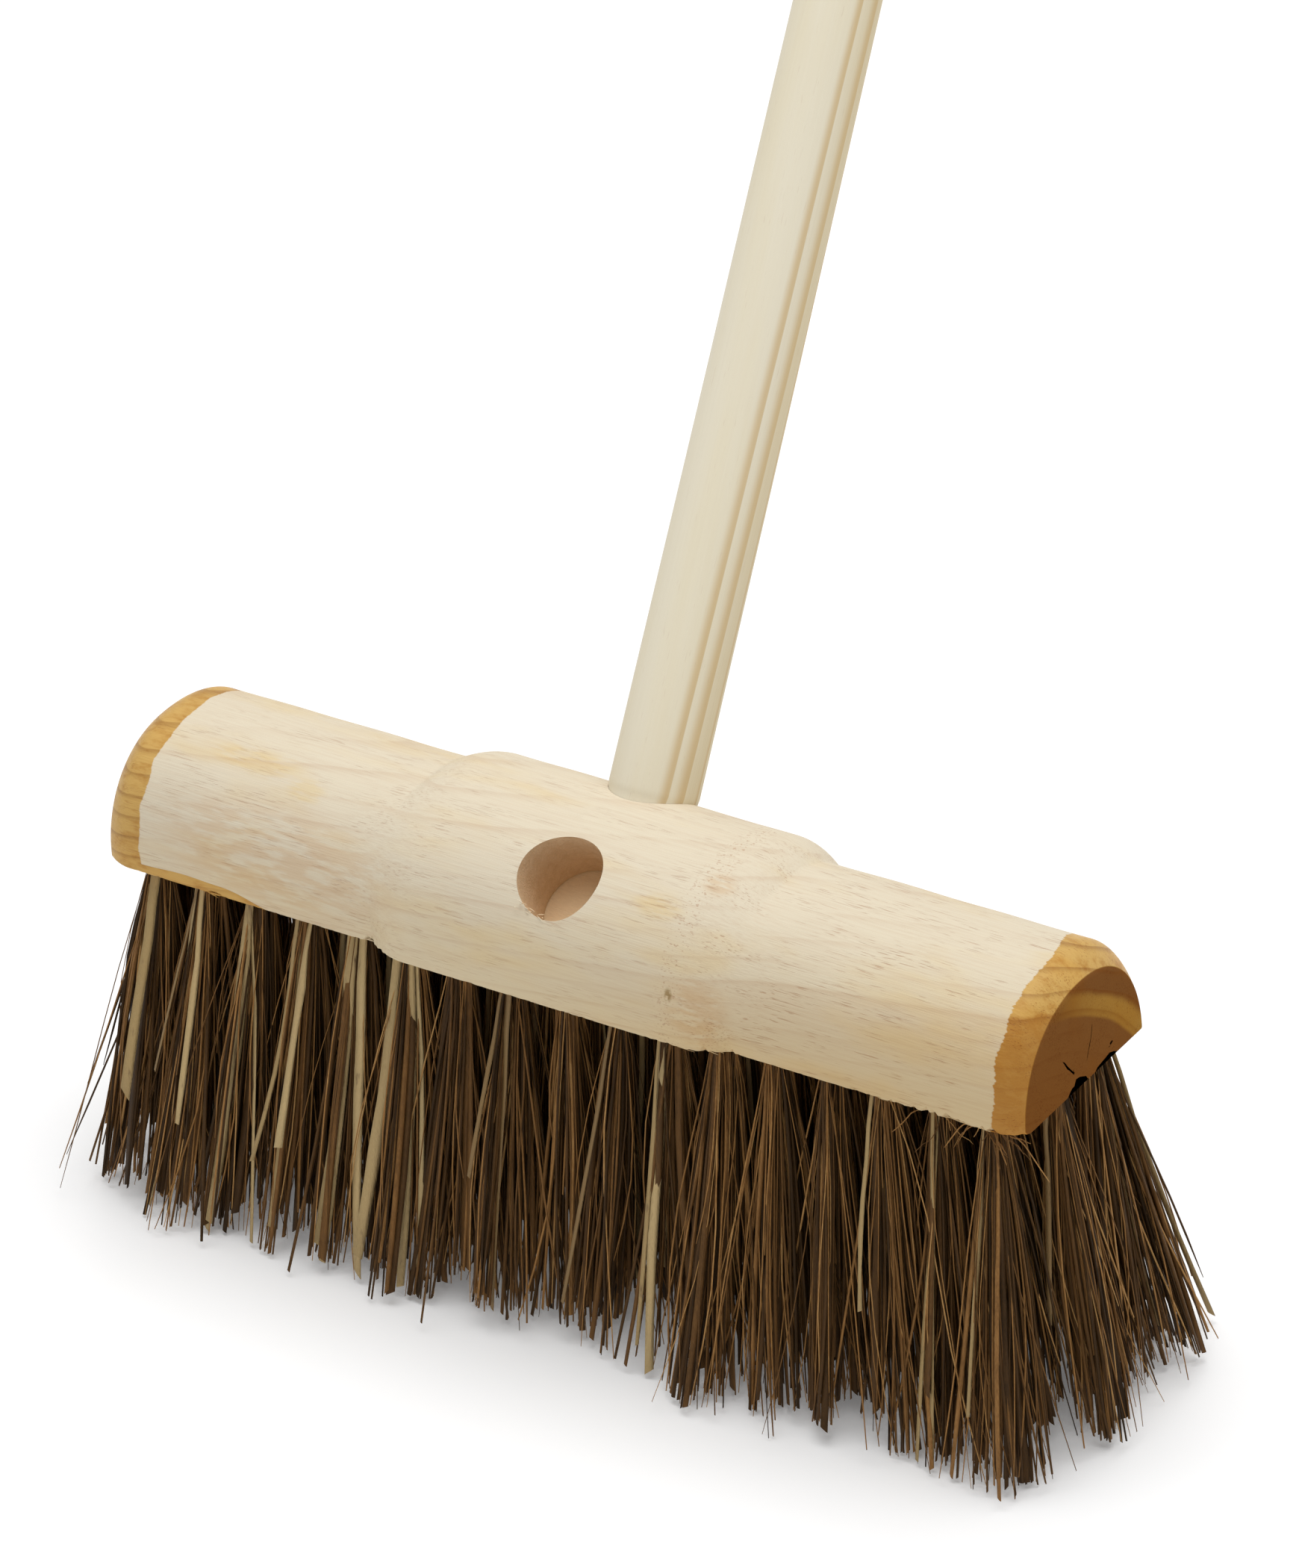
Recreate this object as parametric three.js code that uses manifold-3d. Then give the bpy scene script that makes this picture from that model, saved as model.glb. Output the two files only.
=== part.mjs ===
// A yard broom: a saddleback pine stock with two angled handle sockets, a long round handle
// driven into the far socket and held by a nail, and four rows of stiff fibre tufts.
// Millimetres, +Z up. The origin is on the plane of the tuft tips, below the middle of the stock;
// +X runs along the stock and the handle leans towards +Y.

import * as THREE from 'three';
import { mergeVertices } from 'three/addons/utils/BufferGeometryUtils.js';
import Module from 'manifold-3d';

// ---- Driving dimensions ----

const GAP = 0.3; // clearance left between touching pieces
const TRIM = 116; // free length of the tufts below the stock

const STOCK_LENGTH = 330;
// Each section of the stock is half of a superellipse standing on the flat underside.
const END_FACE = { width: 64, height: 33.5, power: 2.1 };
const ARM = { width: 71.4, height: 39.4, power: 2.4 };
const BOSS = { width: 81, height: 43.3, power: 2.5 };
const BOSS_HALF = 50; // half length of the boss at its full section
const BOSS_FOOT = 64; // where the boss's shoulders meet the arms
const END_ROUNDING = 10; // length of the rounded edge at each end of the stock
const ARCH_STEPS = 24; // facets over the arch of a section
const ROUNDING_STEPS = 4; // stations along each end rounding and each shoulder

const SOCKET_TILT = THREE.MathUtils.degToRad(31.2); // from the vertical, towards each side
const SOCKET_RADIUS = 13.8;
const SOCKET_FLOOR_Y = 12.8; // where a socket's floor crosses its axis, beside the centre plane
const SOCKET_FLOOR_Z = 16.9; // and above the underside
const SOCKET_CUT_LENGTH = 60; // long enough to leave through the top of the boss
const ROUND_SIDES = 32;

const HANDLE_LENGTH = 1370;
const HANDLE_END_RADIUS = 13.5; // the end that sits in the socket
const HANDLE_SEAT_LENGTH = 40; // how far that end reaches, past the mouth of the socket
const HANDLE_LOW_RADIUS = 14;
const HANDLE_HIGH_RADIUS = 12.8;
const HANDLE_TAPER_END = 340; // distance along the handle where the taper stops
const HANDLE_CHAMFER = 2;
const DOME_HEIGHT = 9;
const DOME_STEPS = 6;

const NAIL_SHANK_RADIUS = 1.3;
const NAIL_HEAD_RADIUS = 3;
const NAIL_HEAD_THICKNESS = 1.2;
const NAIL_LENGTH = 27;
const NAIL_POINT_LENGTH = 3;
const NAIL_HEAD_Y = 38.4; // outer face of the head, just under the surface of the boss
const NAIL_HEIGHT = 16; // above the underside
const NAIL_SIDES = 12;
const NAIL_CUT_OUTSIDE = 5; // how far the nail's hole is cut past the head, through the surface

const HOLE_RADIUS = 4.3; // across the corners of the eight-sided holes
const HOLE_DEPTH = 12;
const HOLE_CUT_BELOW = 5; // how far each hole is cut past the underside
const SHALLOW_HOLE_DEPTH = 7; // under the sockets, where little wood is left
const TUFT_ROOT_RADIUS = HOLE_RADIUS - GAP;

// The outer rows have one tuft fewer on each side than the middle rows, which reach the ends.
// The tips of a row share a strip of floor, between two distances from the middle plane.
const OUTER_ROW = {
  count: 17,
  pitch: 18.8,
  y: 26,
  tips: { halfLength: 174, inner: 27.3, outer: 54 },
};
const MIDDLE_ROW = {
  count: 19,
  pitch: 17.8,
  y: 9,
  tips: { halfLength: 176, inner: -2, outer: 27 },
};
const TIP_CORNER = 4; // cut corners of a tuft's spread end
const CORNER_SHARE = 1 - Math.tan(Math.PI / 8); // and of a regular eight-sided outline

// ---- Solids ----

const wasm = await Module();
wasm.setup();

function toSolid(geometry) {
  const bare = geometry.clone();
  bare.deleteAttribute('normal');
  bare.deleteAttribute('uv');
  const merged = mergeVertices(bare, 1e-4);
  return new wasm.Manifold(
    new wasm.Mesh({
      numProp: 3,
      vertProperties: new Float32Array(merged.attributes.position.array),
      triVerts: new Uint32Array(merged.index.array),
    })
  );
}

function toGeometry(solid) {
  const mesh = solid.getMesh();
  const geometry = new THREE.BufferGeometry();
  geometry.setAttribute('position', new THREE.BufferAttribute(new Float32Array(mesh.vertProperties), 3));
  geometry.setIndex(new THREE.BufferAttribute(new Uint32Array(mesh.triVerts), 1));
  geometry.computeVertexNormals();
  return geometry;
}

// A closed skin through rings of equal length, with its first and last rings filled in.
function loft(rings) {
  const count = rings[0].length;
  const positions = rings.flat().flatMap((point) => [point.x, point.y, point.z]);
  const faces = [];
  for (let ring = 0; ring + 1 < rings.length; ring += 1) {
    for (let side = 0; side < count; side += 1) {
      const next = (side + 1) % count;
      const a = ring * count + side;
      const b = ring * count + next;
      faces.push(a, b, b + count, a, b + count, a + count);
    }
  }
  const last = (rings.length - 1) * count;
  for (let side = 1; side + 1 < count; side += 1) {
    faces.push(0, side + 1, side);
    faces.push(last, last + side, last + side + 1);
  }
  const geometry = new THREE.BufferGeometry();
  geometry.setAttribute('position', new THREE.Float32BufferAttribute(positions, 3));
  geometry.setIndex(faces);
  return geometry;
}

// A solid of revolution about +Z, from [radius, height] pairs that start and end on the axis.
function turned(profile, sides) {
  const points = profile.map(([radius, height]) => new THREE.Vector2(radius, height));
  return new THREE.LatheGeometry(points, sides).rotateX(Math.PI / 2);
}

// ---- Stock ----

function blend(from, to, share) {
  return {
    width: THREE.MathUtils.lerp(from.width, to.width, share),
    height: THREE.MathUtils.lerp(from.height, to.height, share),
    power: THREE.MathUtils.lerp(from.power, to.power, share),
  };
}

// The stock's section at a distance from its middle: boss, shoulder, arm, rounded end.
function sectionAt(distance) {
  const endStart = STOCK_LENGTH / 2 - END_ROUNDING;
  if (distance <= BOSS_FOOT) {
    const along = Math.max(0, (distance - BOSS_HALF) / (BOSS_FOOT - BOSS_HALF));
    return blend(BOSS, ARM, along ** 2);
  }
  const along = Math.max(0, (distance - endStart) / END_ROUNDING);
  return blend(ARM, END_FACE, along ** 2);
}

function sectionRing(x, section) {
  const ring = [];
  for (let step = 0; step <= ARCH_STEPS; step += 1) {
    const angle = (Math.PI * step) / ARCH_STEPS;
    const across = Math.cos(angle);
    const up = Math.max(0, Math.sin(angle));
    const y = (section.width / 2) * Math.sign(across) * Math.abs(across) ** (2 / section.power);
    const z = step === ARCH_STEPS ? 0 : section.height * up ** (2 / section.power);
    ring.push(new THREE.Vector3(x, y, TRIM + z));
  }
  return ring;
}

function stockStations() {
  const distances = [BOSS_HALF];
  for (let step = 1; step <= ROUNDING_STEPS; step += 1) {
    distances.push(BOSS_HALF + ((BOSS_FOOT - BOSS_HALF) * step) / ROUNDING_STEPS);
  }
  for (let step = 0; step <= ROUNDING_STEPS; step += 1) {
    distances.push(STOCK_LENGTH / 2 - END_ROUNDING * (1 - step / ROUNDING_STEPS));
  }
  return [...distances.map((distance) => -distance).reverse(), ...distances];
}

function stockBlank() {
  return loft(stockStations().map((x) => sectionRing(x, sectionAt(Math.abs(x)))));
}

// The socket on one side: -1 for the near one, 1 for the far one.
function socketCutter(side) {
  const length = SOCKET_CUT_LENGTH;
  const cutter = new THREE.CylinderGeometry(SOCKET_RADIUS, SOCKET_RADIUS, length, ROUND_SIDES);
  cutter.rotateX(Math.PI / 2).translate(0, 0, length / 2);
  cutter.rotateX(-side * SOCKET_TILT);
  return cutter.translate(0, side * SOCKET_FLOOR_Y, TRIM + SOCKET_FLOOR_Z);
}

// A tuft's hole slants with its tuft.
function tuftHole(root) {
  const below = regularOctagon(alongTuft(root, TRIM - HOLE_CUT_BELOW), HOLE_RADIUS);
  const top = regularOctagon(alongTuft(root, TRIM + root.depth), HOLE_RADIUS);
  return loft([below, top]);
}

function makeStock(roots) {
  let solid = toSolid(stockBlank());
  const cutters = [socketCutter(-1), socketCutter(1), nailGeometry(GAP), ...roots.map(tuftHole)];
  for (const cutter of cutters) solid = solid.subtract(toSolid(cutter));
  return toGeometry(solid);
}

// ---- Handle and its nail ----

function handleProfile() {
  const profile = [
    [0, 0],
    [HANDLE_END_RADIUS - HANDLE_CHAMFER, 0],
    [HANDLE_END_RADIUS, HANDLE_CHAMFER],
    [HANDLE_END_RADIUS, HANDLE_SEAT_LENGTH],
    [HANDLE_LOW_RADIUS, HANDLE_SEAT_LENGTH + HANDLE_CHAMFER],
    [HANDLE_HIGH_RADIUS, HANDLE_TAPER_END],
  ];
  for (let step = 0; step <= DOME_STEPS; step += 1) {
    const angle = (Math.PI / 2) * (step / DOME_STEPS);
    const radius = step === DOME_STEPS ? 0 : HANDLE_HIGH_RADIUS * Math.cos(angle);
    profile.push([radius, HANDLE_LENGTH - DOME_HEIGHT * (1 - Math.sin(angle))]);
  }
  return profile;
}

function makeHandle() {
  const blank = turned(handleProfile(), ROUND_SIDES).translate(0, 0, GAP).rotateX(-SOCKET_TILT);
  blank.translate(0, SOCKET_FLOOR_Y, TRIM + SOCKET_FLOOR_Z);
  return toGeometry(toSolid(blank).subtract(toSolid(nailGeometry(GAP))));
}

// The nail lies along Y with its head outwards; the margin makes the hole that it sits in.
function nailGeometry(margin) {
  const shank = NAIL_SHANK_RADIUS + margin;
  const head = NAIL_HEAD_RADIUS + margin;
  const outside = margin > 0 ? NAIL_CUT_OUTSIDE : 0;
  const profile = [
    [0, -NAIL_LENGTH - margin],
    [shank, -NAIL_LENGTH + NAIL_POINT_LENGTH],
    [shank, -NAIL_HEAD_THICKNESS - margin],
    [head, -NAIL_HEAD_THICKNESS - margin],
    [head, outside],
    [0, outside],
  ];
  const nail = turned(profile, NAIL_SIDES).rotateX(-Math.PI / 2);
  return nail.translate(0, NAIL_HEAD_Y, TRIM + NAIL_HEIGHT);
}

// ---- Tufts ----

// Where each tuft of a row leaves the stock, how deep its hole is, and where its tips end.
function rowRoots(row, side) {
  const cell = (2 * row.tips.halfLength) / row.count;
  return Array.from({ length: row.count }, (_, index) => {
    const place = index - (row.count - 1) / 2;
    const mouth = new THREE.Vector3(place * row.pitch, side * row.y, TRIM);
    const tip = new THREE.Vector3(place * cell, (side * (row.tips.inner + row.tips.outer)) / 2, 0);
    const underSocket = row === OUTER_ROW && Math.abs(mouth.x) < SOCKET_RADIUS;
    const depth = underSocket ? SHALLOW_HOLE_DEPTH : HOLE_DEPTH;
    return { index, mouth, tip, depth, tipHalfX: cell / 2 - GAP / 2, tipHalfY: tipHalfY(row) };
  });
}

function tipHalfY(row) {
  return (row.tips.outer - row.tips.inner) / 2;
}

// The point of a tuft's middle line at a height, inside its hole too.
function alongTuft(root, height) {
  return root.tip.clone().lerp(root.mouth, height / TRIM);
}

// An eight-sided outline with cut corners.
function octagon(centre, halfX, halfY, corner) {
  const outline = [
    [halfX, -halfY + corner],
    [halfX, halfY - corner],
    [halfX - corner, halfY],
    [-halfX + corner, halfY],
    [-halfX, halfY - corner],
    [-halfX, -halfY + corner],
    [-halfX + corner, -halfY],
    [halfX - corner, -halfY],
  ];
  return outline.map(([x, y]) => new THREE.Vector3(centre.x + x, centre.y + y, centre.z));
}

function regularOctagon(centre, radius) {
  const half = radius * Math.cos(Math.PI / 8);
  return octagon(centre, half, half, half * CORNER_SHARE);
}

// One tuft: a round root in its hole, spreading to its share of the sweeping face.
function tuftGeometry(root) {
  return loft([
    octagon(root.tip, root.tipHalfX, root.tipHalfY, TIP_CORNER),
    regularOctagon(root.mouth, TUFT_ROOT_RADIUS),
    regularOctagon(alongTuft(root, TRIM + root.depth - GAP), TUFT_ROOT_RADIUS),
  ]);
}

// ---- Assembly ----

function wood(color, roughness) {
  return new THREE.MeshStandardMaterial({ color, roughness, metalness: 0 });
}

function named(name, geometry, material) {
  const mesh = new THREE.Mesh(geometry, material);
  mesh.name = name;
  return mesh;
}

function numbered(name, index) {
  return `${name}_${String(index + 1).padStart(2, '0')}`;
}

const nearRoots = rowRoots(OUTER_ROW, -1);
const farRoots = rowRoots(OUTER_ROW, 1);
const middleNearRoots = rowRoots(MIDDLE_ROW, -1);
const middleFarRoots = rowRoots(MIDDLE_ROW, 1);
const allRoots = [...nearRoots, ...farRoots, ...middleNearRoots, ...middleFarRoots];

const broom = new THREE.Group();
broom.add(named('stock', makeStock(allRoots), wood(0xe2cfa8, 0.62)));
broom.add(named('handle', makeHandle(), wood(0xead9b5, 0.55)));
broom.add(
  named(
    'handle_nail',
    nailGeometry(0),
    new THREE.MeshStandardMaterial({ color: 0x8f9296, roughness: 0.4, metalness: 1 })
  )
);

for (const root of nearRoots) {
  broom.add(named(numbered('near_tuft', root.index), tuftGeometry(root), wood(0x4a3322, 0.75)));
}

for (const root of farRoots) {
  broom.add(named(numbered('far_tuft', root.index), tuftGeometry(root), wood(0x4a3322, 0.75)));
}

// The two middle rows spread into each other, so facing tufts are joined where they meet.
for (const root of middleNearRoots) {
  const near = toSolid(tuftGeometry(root));
  const far = toSolid(tuftGeometry(middleFarRoots[root.index]));
  const pair = toGeometry(near.add(far));
  broom.add(named(numbered('middle_tuft_pair', root.index), pair, wood(0x3e2b1d, 0.75)));
}

export default broom;
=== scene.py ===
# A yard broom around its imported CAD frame: a pine stock with amber varnish on both ends, a pine
# handle in the far socket, its nail, and 72 tufts of dark palm fibre with pale strips among them.
# Metres, +Z up. The fibre tips stand on z = 0, and the stock runs along X.

import math

import bpy
import numpy as np
from mathutils import Matrix, Vector


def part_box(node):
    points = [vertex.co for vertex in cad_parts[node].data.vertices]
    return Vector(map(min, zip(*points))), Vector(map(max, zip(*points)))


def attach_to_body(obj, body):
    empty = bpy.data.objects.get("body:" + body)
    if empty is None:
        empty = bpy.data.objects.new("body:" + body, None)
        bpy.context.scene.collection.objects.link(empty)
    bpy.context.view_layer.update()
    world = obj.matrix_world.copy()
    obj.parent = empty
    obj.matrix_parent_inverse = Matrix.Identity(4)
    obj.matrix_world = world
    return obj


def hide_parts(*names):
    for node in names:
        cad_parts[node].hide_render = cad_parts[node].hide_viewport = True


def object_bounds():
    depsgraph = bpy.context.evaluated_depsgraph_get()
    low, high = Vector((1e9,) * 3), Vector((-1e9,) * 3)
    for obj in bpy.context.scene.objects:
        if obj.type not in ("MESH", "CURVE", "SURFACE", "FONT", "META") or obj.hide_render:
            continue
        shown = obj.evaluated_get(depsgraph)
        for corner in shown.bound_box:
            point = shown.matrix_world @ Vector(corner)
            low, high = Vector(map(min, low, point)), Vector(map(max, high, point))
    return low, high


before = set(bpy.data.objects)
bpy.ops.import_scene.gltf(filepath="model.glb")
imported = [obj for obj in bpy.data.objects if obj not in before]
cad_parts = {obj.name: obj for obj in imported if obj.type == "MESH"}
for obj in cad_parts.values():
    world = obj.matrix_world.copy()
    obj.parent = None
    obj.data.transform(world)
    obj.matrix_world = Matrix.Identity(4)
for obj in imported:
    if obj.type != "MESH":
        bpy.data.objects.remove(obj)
CAD_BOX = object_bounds()

MM = 0.001
NEARBY = 0.1 * MM  # CAD points this close to a station or a height are on it

BLANK_SEED = 11
SPLINTER_SEED = 7
FIRST_TUFT_SEED = 100


# ---- What the frame gives ----


def mesh_points(mesh):
    """The vertices of a mesh, as rows of x, y, z."""
    points = np.empty(len(mesh.vertices) * 3)
    mesh.vertices.foreach_get("co", points)
    return points.reshape(-1, 3)


def cad_points(node):
    return mesh_points(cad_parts[node].data)


def cad_section(x, power):
    """Width, height and power of the stock's rounded section at one of its CAD stations."""
    points = cad_points("stock")
    ring = points[abs(points[:, 0] - x) < NEARBY]
    return np.array([np.ptp(ring[:, 1]), ring[:, 2].max() - UNDERSIDE, power])


STOCK_LOW, STOCK_HIGH = (np.array(corner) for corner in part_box("stock"))
UNDERSIDE = STOCK_LOW[2]
HALF_LENGTH = STOCK_HIGH[0]

BOSS_HALF = 50 * MM
BOSS_FOOT = 64 * MM
END_ROUNDING = 10 * MM
BOSS = cad_section(BOSS_HALF, 2.5)
ARM = cad_section(HALF_LENGTH - END_ROUNDING, 2.4)
END_FACE = cad_section(HALF_LENGTH, 2.1)

SOCKET_TILT = math.radians(31.2)
SOCKET_RADIUS = 13.8 * MM
SOCKET_FLOOR = Vector((0, 12.8 * MM, UNDERSIDE + 16.9 * MM))
HOLE_RADIUS = 4.3 * MM
HALF_SPAN = CAD_BOX[1][0]  # the tips of the end tufts


# ---- Mesh helpers ----


def closed_mesh(name, points, faces, smooth_angle=40):
    """A mesh from arrays, smooth but for edges sharper than the angle."""
    mesh = bpy.data.meshes.new(name)
    mesh.from_pydata(points.tolist(), [], faces)
    mesh.shade_smooth()
    mesh.set_sharp_from_angle(angle=math.radians(smooth_angle))
    return mesh


def placed(name, data, matrix=Matrix.Identity(4)):
    piece = bpy.data.objects.new(name, data)
    piece.matrix_world = matrix
    bpy.context.scene.collection.objects.link(piece)
    return piece


def tube_faces(rings, sides, first=0):
    """Quads between neighbouring rings of equal length, and a face over each end ring."""
    ring, side = np.meshgrid(np.arange(rings - 1), np.arange(sides), indexing="ij")
    near = first + ring * sides + side
    beside = first + ring * sides + (side + 1) % sides
    quads = np.stack([near, beside, beside + sides, near + sides], axis=-1)
    last = first + (rings - 1) * sides
    caps = [list(range(first, first + sides))[::-1], list(range(last, last + sides))]
    return quads.reshape(-1, 4).tolist() + caps


def lathe(name, profile, sides, smooth_angle=40):
    """A solid turned about Z from radius and height pairs."""
    angles = np.arange(sides) * 2 * math.pi / sides
    radius, height = np.array(profile).T
    x = radius[:, None] * np.cos(angles)
    y = radius[:, None] * np.sin(angles)
    z = np.broadcast_to(height[:, None], x.shape)
    points = np.stack([x, y, z], axis=-1).reshape(-1, 3)
    return closed_mesh(name, points, tube_faces(len(profile), sides), smooth_angle)


def joined(name, meshes, smooth_angle=40):
    """One mesh of several that don't touch."""
    faces = []
    total = 0
    for mesh in meshes:
        faces += [[total + index for index in face.vertices] for face in mesh.polygons]
        total += len(mesh.vertices)
    points = np.concatenate([mesh_points(mesh) for mesh in meshes])
    return closed_mesh(name, points, faces, smooth_angle)


def cut(piece, cutter_mesh):
    """Takes a closed mesh away from a piece."""
    cutter = placed("cutter", cutter_mesh)
    modifier = piece.modifiers.new("cut", "BOOLEAN")
    modifier.operation = "DIFFERENCE"
    modifier.solver = "MANIFOLD"
    modifier.object = cutter
    graph = bpy.context.evaluated_depsgraph_get()
    result = bpy.data.meshes.new_from_object(piece.evaluated_get(graph))
    piece.modifiers.clear()
    piece.data = result
    bpy.data.objects.remove(cutter)


def wave_noise(positions, wavelength, rng):
    """Smooth seeded noise along a line, about -1 to 1."""
    waves = 6
    total = np.zeros_like(positions)
    for _ in range(waves):
        rate = 2 * math.pi / (wavelength * rng.uniform(0.6, 1.8))
        total += np.sin(positions * rate + rng.uniform(0, 2 * math.pi))
    return total / math.sqrt(waves)


# ---- Shader helpers ----


class Shader:
    """A short way to write a material's nodes."""

    def __init__(self, name):
        self.material = bpy.data.materials.new(name)
        self.material.use_nodes = True
        self.tree = self.material.node_tree
        self.surface = self.tree.nodes["Principled BSDF"]

    def feed(self, socket, value):
        if isinstance(value, bpy.types.NodeSocket):
            self.tree.links.new(value, socket)
        elif socket.type == "RGBA":
            socket.default_value = (*value, 1)
        else:
            socket.default_value = value

    def node(self, kind, inputs, **settings):
        made = self.tree.nodes.new(kind)
        for name, value in settings.items():
            setattr(made, name, value)
        for key, value in inputs.items():
            self.feed(made.inputs[key], value)
        return made

    def set(self, **inputs):
        """Feeds the surface's sockets, an underscore standing for a space."""
        for name, value in inputs.items():
            self.feed(self.surface.inputs[name.replace("_", " ")], value)

    def math(self, operation, *values, clamp=False):
        inputs = dict(enumerate(values))
        return self.node("ShaderNodeMath", inputs, operation=operation, use_clamp=clamp).outputs[0]

    def plus(self, *values, clamp=False):
        return self.math("ADD", *values, clamp=clamp)

    def minus(self, *values):
        return self.math("SUBTRACT", *values)

    def times(self, *values):
        return self.math("MULTIPLY", *values)

    def scaled(self, value, factor, offset):
        return self.math("MULTIPLY_ADD", value, factor, offset)

    def larger(self, *values):
        return self.math("MAXIMUM", *values)

    def vector(self, operation, *values):
        made = self.node("ShaderNodeVectorMath", dict(enumerate(values)), operation=operation)
        return made.outputs["Value" if operation == "LENGTH" else "Vector"]

    def mix(self, share, first, second, blend="MIX"):
        inputs = {0: share, 6: first, 7: second}
        settings = {"data_type": "RGBA", "blend_type": blend}
        return self.node("ShaderNodeMix", inputs, **settings).outputs[2]

    def step(self, value, start, end):
        """0 below start and 1 above end, smooth between; start may be the larger."""
        inputs = {"Value": value, "From Min": start, "From Max": end}
        made = self.node("ShaderNodeMapRange", inputs, interpolation_type="SMOOTHSTEP")
        return made.outputs["Result"]

    def noise(self, place, stretch, detail=3, roughness=0.55):
        """Noise whose cells are about stretch long in x, y and z, in the units of place."""
        scaled = self.vector("DIVIDE", place, stretch)
        inputs = {"Vector": scaled, "Scale": 1, "Detail": detail, "Roughness": roughness}
        return self.node("ShaderNodeTexNoise", inputs).outputs["Fac"]

    def ramp(self, value, stops):
        made = self.node("ShaderNodeValToRGB", {"Fac": value})
        elements = made.color_ramp.elements
        while len(elements) < len(stops):
            elements.new(0.5)
        for element, (position, colour) in zip(elements, stops):
            element.position = position
            element.color = (*colour, 1)
        return made.outputs["Color"]

    def attribute(self, name):
        return self.node("ShaderNodeAttribute", {}, attribute_name=name).outputs["Fac"]

    def place(self):
        """Object coordinates in millimetres."""
        coordinates = self.node("ShaderNodeTexCoord", {}).outputs["Object"]
        return self.vector("DIVIDE", coordinates, (MM, MM, MM))

    def split(self, vector):
        return self.node("ShaderNodeSeparateXYZ", {"Vector": vector}).outputs[:]

    def bump(self, height, distance):
        inputs = {"Height": height, "Distance": distance, "Strength": 1}
        self.set(Normal=self.node("ShaderNodeBump", inputs).outputs[0])


# ---- Pine ----

PINE = (0.73, 0.647, 0.497)
PINE_WARM = (0.73, 0.60, 0.385)
PINE_LATE = (0.55, 0.385, 0.255)
PINE_FLECK = (0.44, 0.25, 0.15)
PINE_CUT = (0.78, 0.58, 0.36)
PITH_AND_LOW_SHADE_TINT = (0.955, 0.865, 0.67)  # browner towards the pith, which lies below the near face: partly the wood's tone, partly painted shade on the lower near face
HEART_AND_SHADE_TINT = (0.93, 0.89, 0.86)


def pine_flecks(shader, place):
    """Short dark dashes along the grain, gathered in patches."""
    dashes = shader.step(shader.noise(place, (8, 0.4, 0.4), detail=2), 0.57, 0.68)
    patches = shader.step(shader.noise(place, (20, 6, 6), detail=1), 0.38, 0.62)
    return shader.times(dashes, patches)


# The stock's growth rings are round the pith, a line under its near side that rises towards +X.
PITH_Y = -45
PITH_Z = UNDERSIDE / MM - 60
PITH_RISE = 0.113
RING_SPACING = 6.2
HEART_RADIUS = 96  # inside this ring the stock is darker: partly the heartwood's tone, partly painted shade on the lower near face


def stock_rings(shader, place):
    """Distance of a point from the pith, in millimetres, a little wavy."""
    x, y, z = shader.split(place)
    rise = shader.scaled(x, PITH_RISE, PITH_Z - HALF_LENGTH / MM * PITH_RISE)
    away = {"Y": shader.minus(y, PITH_Y), "Z": shader.minus(z, rise)}
    flat = shader.node("ShaderNodeCombineXYZ", away).outputs[0]
    wave = shader.noise(place, (90, 30, 30), detail=2)
    return shader.plus(shader.vector("LENGTH", flat), shader.scaled(wave, 4.0, -2.0))


def growth_line(shader, ring):
    """1 on each dark growth line: a slow rise from one side and a quick fall on the other."""
    distance = shader.minus(ring, HEART_RADIUS)
    phase = shader.math("FRACT", shader.math("DIVIDE", distance, RING_SPACING))
    rise = shader.math("POWER", shader.step(phase, 0.62, 0.95), 2)
    return shader.times(rise, shader.step(phase, 1.0, 0.96))


def stock_pine_colour(shader, place, ring):
    """Bare planed pine: cream, warmer in patches, with growth lines."""
    fade = shader.step(shader.noise(place, (60, 9, 9), detail=2), 0.30, 0.70)
    line = shader.times(shader.times(growth_line(shader, ring), fade), 0.30)
    warm = shader.noise(place, (70, 22, 22))
    colour = shader.mix(shader.step(warm, 0.48, 0.72), PINE, PINE_WARM)
    streak = shader.noise(place, (38, 0.6, 0.6), detail=4, roughness=0.65)
    streak = shader.times(shader.step(streak, 0.38, 0.78), 0.26)
    colour = shader.mix(streak, colour, PINE_LATE)
    return shader.mix(line, colour, PINE_LATE)


def heart_and_shade_share(shader, place, ring):
    """1 in the darker heart side of the right arm and end: partly the heartwood's tone, partly
    painted shade below a line on the near face.
    """
    inside = shader.step(ring, HEART_RADIUS + 0.9, HEART_RADIUS - 0.4)
    return shader.times(inside, shader.step(shader.split(place)[0], -30, 95))


AMBER_THIN = (0.86, 0.61, 0.25)
AMBER_DEEP = (0.67, 0.39, 0.12)
AMBER_END = (0.53, 0.32, 0.09)
AMBER_END_HEART = (0.31, 0.155, 0.062)
AMBER_END_RIM = (0.29, 0.135, 0.05)
AMBER_LINE = (0.30, 0.12, 0.03)
VARNISH_LEFT = -150.8
VARNISH_RIGHT = 155.3
DRIP_END = -99
DRIP_HEIGHT = 3.8


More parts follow.
